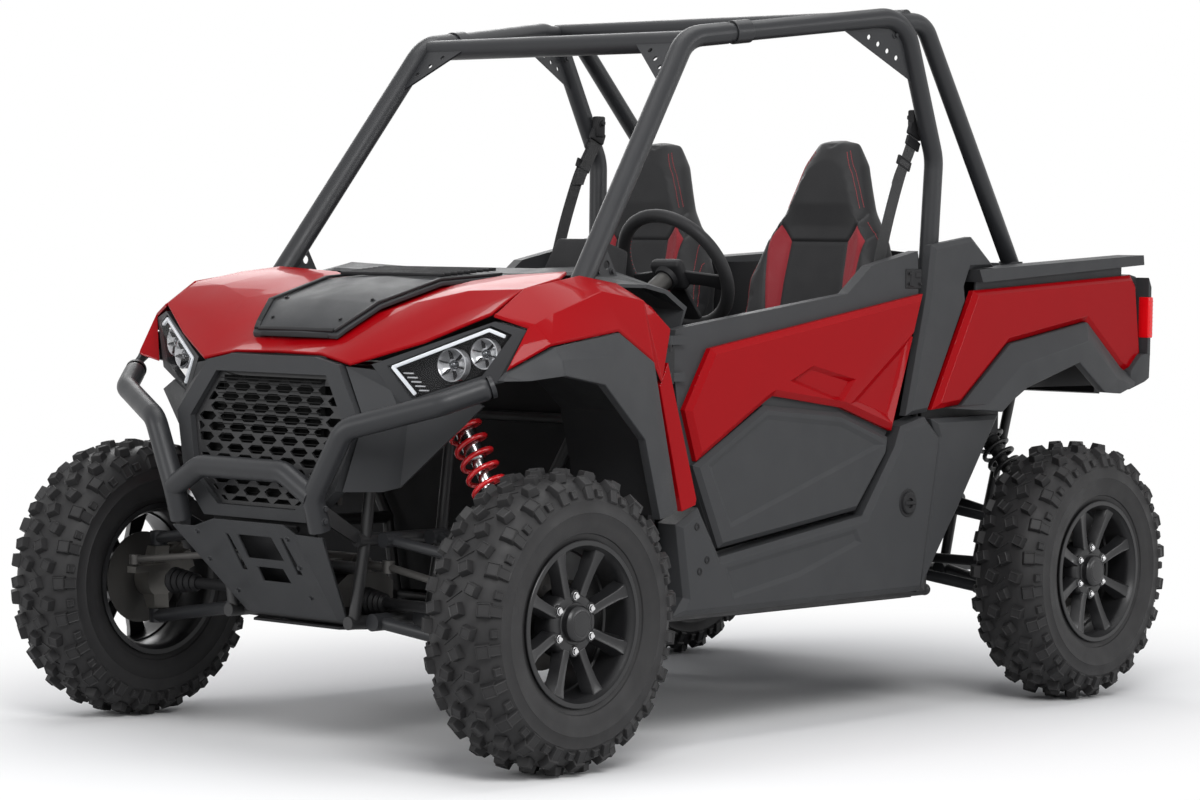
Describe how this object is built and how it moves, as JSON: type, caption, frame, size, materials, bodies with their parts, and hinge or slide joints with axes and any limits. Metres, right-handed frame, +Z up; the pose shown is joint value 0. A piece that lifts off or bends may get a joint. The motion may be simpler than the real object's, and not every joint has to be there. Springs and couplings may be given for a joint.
{
  "type": "side by side utility vehicle",
  "caption": "Open two seat off-road vehicle with tubular roll cage, four knobbly wheels, front steering, hinged half doors, cargo box with a drop tailgate and front bumper.",
  "frame": {"origin": "on the ground under the middle of the overall length and width, the height of the tyres' lowest lugs", "axes": "+Z up, +X to the vehicle's left, -Y is the way it drives"},
  "size_m": [1.684, 2.974, 1.8694],
  "materials": {
    "red_paint": "candy gloss red over moulded plastic",
    "dark_plastic": "textured dark grey moulded plastic",
    "black_plastic": "black moulded plastic",
    "frame_tube": "satin black powder coat",
    "cage_tube": "fine textured black powder coat",
    "rim_black": "satin black cast alloy",
    "tyre": "black tread rubber",
    "cast_metal": "bare cast metal",
    "spring_red": "red powder coated spring steel",
    "spring_black": "black powder coated spring steel",
    "vinyl": "black textured vinyl with red inserts",
    "webbing": "black woven webbing",
    "lamp": "clear lamp with chrome inside",
    "tail_lamp": "red lens",
    "engine_metal": "dark cast metal"
  },
  "bodies": {
    "chassis": {"arch_liners": "black_plastic", "bed": "black_plastic", "bed_rails": "dark_plastic", "belly_pan": "black_plastic", "bulkhead": "black_plastic", "bumper": "cage_tube", "dash": "black_plastic", "drivetrain": "engine_metal", "fascia": "dark_plastic", "floor_tub": "black_plastic", "frame": "frame_tube", "front_fenders": "red_paint", "front_flares": "dark_plastic", "front_frame": "frame_tube", "front_skid": "dark_plastic", "front_springs": "spring_red", "grille": "black_plastic", "half_shafts": "black_plastic", "headlamps": "lamp", "hinge_posts": "frame_tube", "hood": "red_paint", "hood_cover": "dark_plastic", "quarter_panels": "red_paint", "rear_corners": "dark_plastic", "rear_flares": "dark_plastic", "rear_frame": "frame_tube", "rear_knuckles": "cast_metal", "rear_springs": "spring_black", "rear_valance": "black_plastic", "roll_cage": "cage_tube", "seat_backs": "vinyl", "seat_belts": "webbing", "seat_cushions": "vinyl", "shocks": "frame_tube", "side_trims": "dark_plastic", "steering_gear": "cast_metal", "suspension_arms": "frame_tube", "tail_lamps": "tail_lamp"},
    "knuckle_left": {"knuckle_left": "cast_metal"},
    "knuckle_right": {"knuckle_right": "cast_metal"},
    "wheel_front_left": {"tyre_front_left": "tyre", "rim_front_left": "rim_black"},
    "wheel_front_right": {"tyre_front_right": "tyre", "rim_front_right": "rim_black"},
    "wheel_rear_left": {"tyre_rear_left": "tyre", "rim_rear_left": "rim_black"},
    "wheel_rear_right": {"tyre_rear_right": "tyre", "rim_rear_right": "rim_black"},
    "door_left": {"door_left": "dark_plastic", "door_panel_left": "red_paint"},
    "door_right": {"door_panel_right": "red_paint", "door_right": "dark_plastic"},
    "tailgate": {"tailgate": "dark_plastic"},
    "steering_wheel": {"steering_wheel": "black_plastic"},
    "tie_rods": {"tie_rods": "cast_metal"}
  },
  "joints": [
    {"name": "steer_left", "type": "hinge", "parent": "chassis", "child": "knuckle_left", "pos_m": [0.64, -1.131, 0.356], "axis": [0, 0, 1], "range_deg": [-28, 28]},
    {"name": "steer_right", "type": "hinge", "parent": "chassis", "child": "knuckle_right", "pos_m": [-0.64, -1.131, 0.356], "axis": [0, 0, 1], "range_deg": [-28, 28]},
    {"name": "steering_wheel_turn", "type": "hinge", "parent": "chassis", "child": "steering_wheel", "pos_m": [0.32, -0.217, 1.172], "axis": [0, 0.8572, 0.515], "range_deg": [-270, 270]},
    {"name": "rack_slide", "type": "slide", "parent": "chassis", "child": "tie_rods", "axis": [1, 0, 0], "range_m": [-0.0531, 0.0531]},
    {"name": "spin_front_left", "type": "hinge", "parent": "knuckle_left", "child": "wheel_front_left", "pos_m": [0.731, -1.131, 0.356], "axis": [1, 0, 0], "continuous": true},
    {"name": "spin_front_right", "type": "hinge", "parent": "knuckle_right", "child": "wheel_front_right", "pos_m": [-0.731, -1.131, 0.356], "axis": [1, 0, 0], "continuous": true},
    {"name": "spin_rear_left", "type": "hinge", "parent": "chassis", "child": "wheel_rear_left", "pos_m": [0.731, 1.014, 0.356], "axis": [1, 0, 0], "continuous": true},
    {"name": "spin_rear_right", "type": "hinge", "parent": "chassis", "child": "wheel_rear_right", "pos_m": [-0.731, 1.014, 0.356], "axis": [1, 0, 0], "continuous": true},
    {"name": "door_left_swing", "type": "hinge", "parent": "chassis", "child": "door_left", "pos_m": [0.646, -0.628, 0.95], "axis": [0, 0, -1], "range_deg": [0, 65]},
    {"name": "door_right_swing", "type": "hinge", "parent": "chassis", "child": "door_right", "pos_m": [-0.646, -0.628, 0.95], "axis": [0, 0, 1], "range_deg": [0, 65]},
    {"name": "tailgate_drop", "type": "hinge", "parent": "chassis", "child": "tailgate", "pos_m": [0, 1.449, 0.852], "axis": [-1, 0, 0], "range_deg": [0, 90]}
  ],
  "couplings": [
    {"joint": "steer_right", "follows": "steer_left", "ratio": 1},
    {"joint": "steering_wheel_turn", "follows": "steer_left", "ratio": 9.6429},
    {"joint": "rack_slide", "follows": "steer_left", "m_per_rad": 0.10759}
  ]
}
